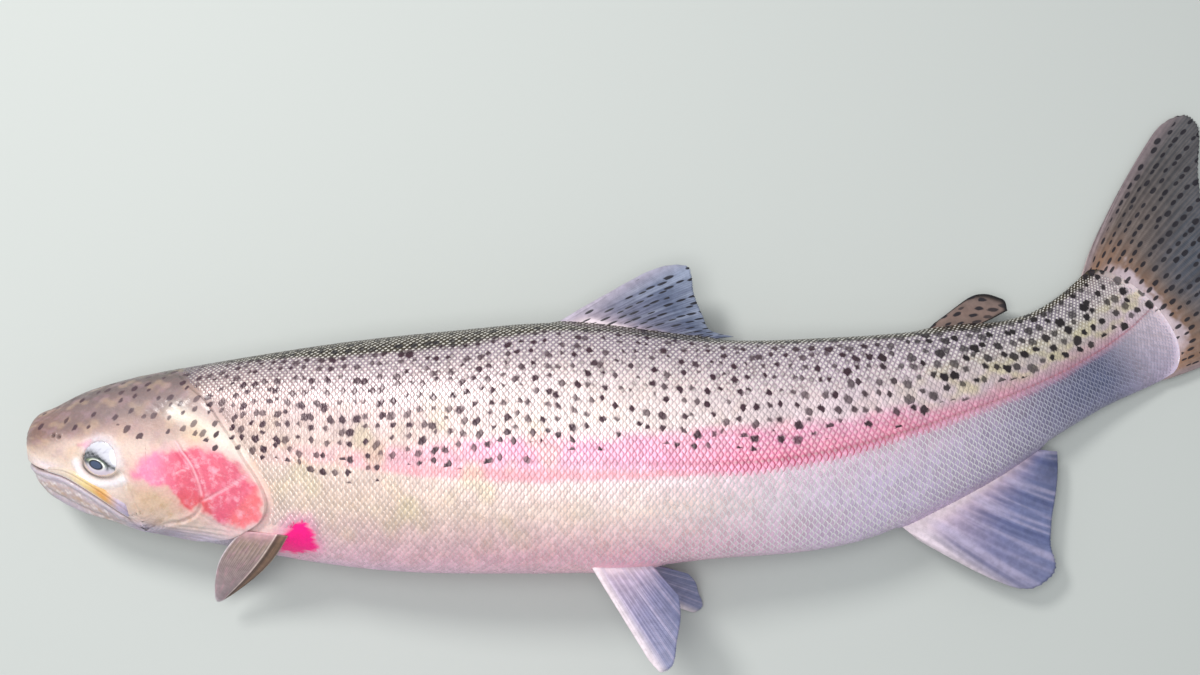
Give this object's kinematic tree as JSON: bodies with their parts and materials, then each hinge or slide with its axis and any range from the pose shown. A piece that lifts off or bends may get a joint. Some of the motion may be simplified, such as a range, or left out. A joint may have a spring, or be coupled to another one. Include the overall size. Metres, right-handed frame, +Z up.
{
  "type": "rainbow trout model",
  "caption": "Life-size still model of a large rainbow trout lying on its right side: spotted back, pink band, red cheek, tail curved towards the back, fins spread as in life.",
  "frame": {"origin": "on the surface the fish lies on, under the middle of its bounding box", "axes": "+X from the snout towards the tail, +Y towards the back, +Z up, out of the left flank"},
  "size_m": [0.7418, 0.3144, 0.0751],
  "materials": {
    "spotted_back": "olive-brown back and head, black spots, wet gloss",
    "silver_flank": "silvery scales with a pink band, wet gloss",
    "pink_cheek": "rose-red gill cover, wet gloss",
    "pale_jaw": "whitish jaws, wet gloss",
    "spotted_fin": "thin brownish fin with rows of black spots",
    "pale_fin": "thin pinkish-white fin with fine rays",
    "eye": "clear dome over a pale iris and dark pupil"
  },
  "bodies": {
    "root": {"head": "spotted_back", "lower_jaw": "pale_jaw", "maxilla_left": "pale_jaw", "maxilla_right": "pale_jaw", "gill_cover_left": "pink_cheek", "gill_cover_right": "pink_cheek", "eye_left": "eye", "eye_right": "eye", "trunk": "silver_flank", "tail_stem": "silver_flank", "fin_dorsal": "spotted_fin", "fin_adipose": "spotted_back", "fin_anal": "pale_fin", "fin_caudal": "spotted_fin", "fin_pectoral_left": "pale_fin", "fin_pectoral_right": "pale_fin", "fin_pelvic_left": "pale_fin", "fin_pelvic_right": "pale_fin"}
  },
  "joints": []
}
